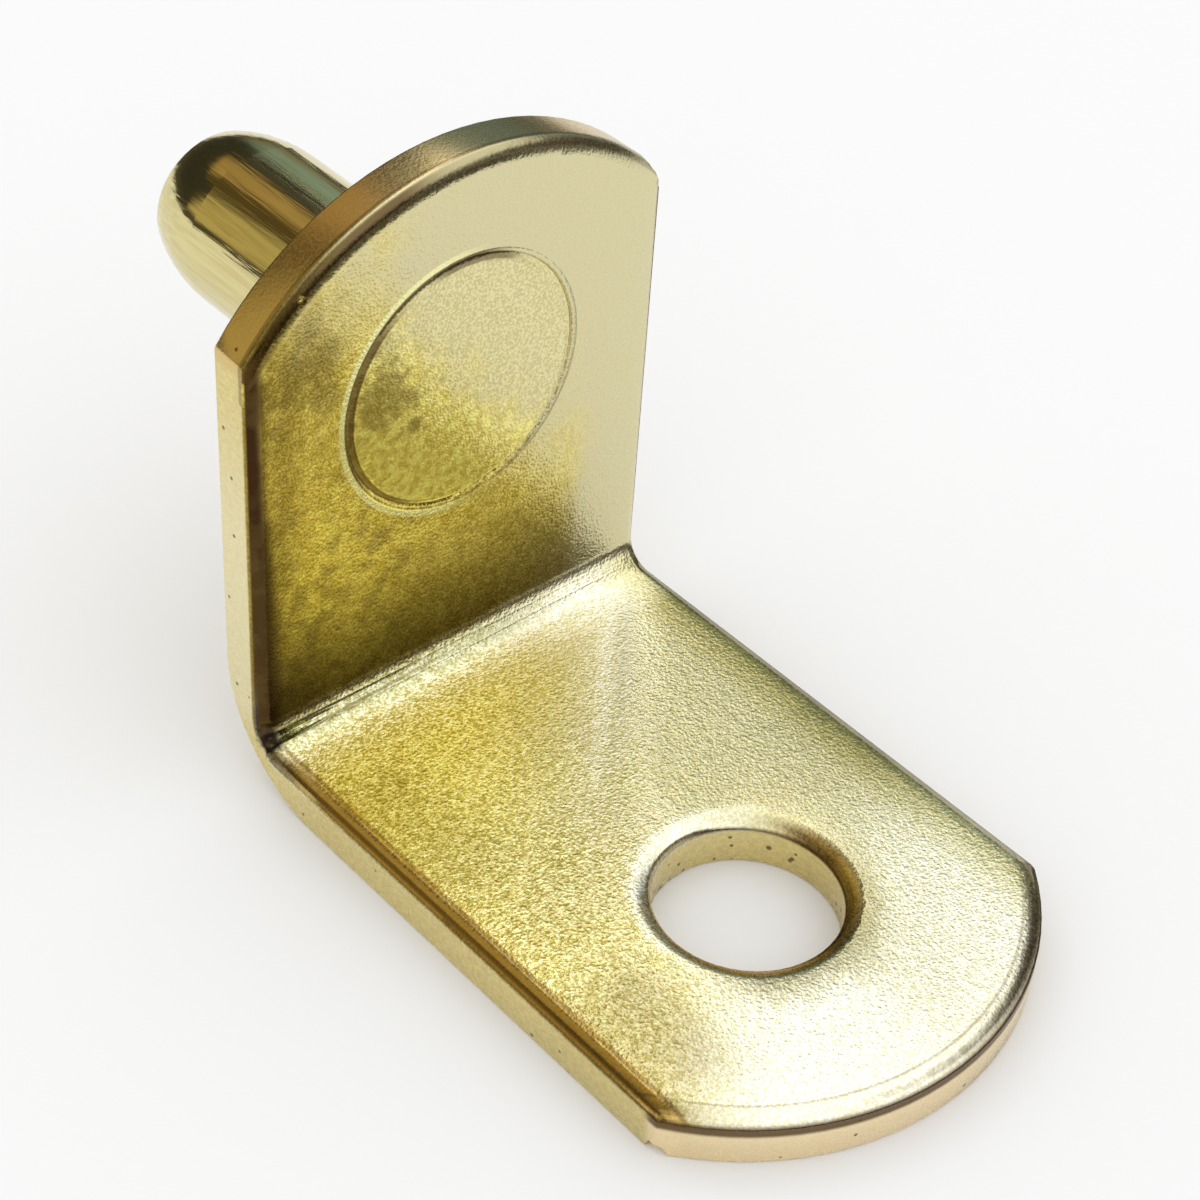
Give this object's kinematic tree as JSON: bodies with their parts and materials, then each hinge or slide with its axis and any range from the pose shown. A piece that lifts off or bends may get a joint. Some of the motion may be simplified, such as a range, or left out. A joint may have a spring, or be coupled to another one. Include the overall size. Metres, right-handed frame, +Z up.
{
  "type": "shelf support pin",
  "caption": "Bent metal shelf support with a flat leg, a screw hole near its rounded tip, and a round-nosed pin staked through the upright.",
  "frame": {"origin": "where the pin's axis meets the upright's back face, the one that lies against the cabinet side", "axes": "+Y along the pin into the cabinet side, +Z up, and the leg that carries the shelf reaches out along -Y"},
  "size_m": [0.013, 0.0297, 0.0167],
  "materials": {
    "plated_plate": "tumbled brass plating on punched steel sheet, satin with a fine pebbled grain, browner along the rolled edges",
    "plated_pin": "bright brass plating on a turned steel pin, smooth and close to a mirror"
  },
  "bodies": {
    "root": {"bent_plate": "plated_plate", "pin": "plated_pin"}
  },
  "joints": []
}
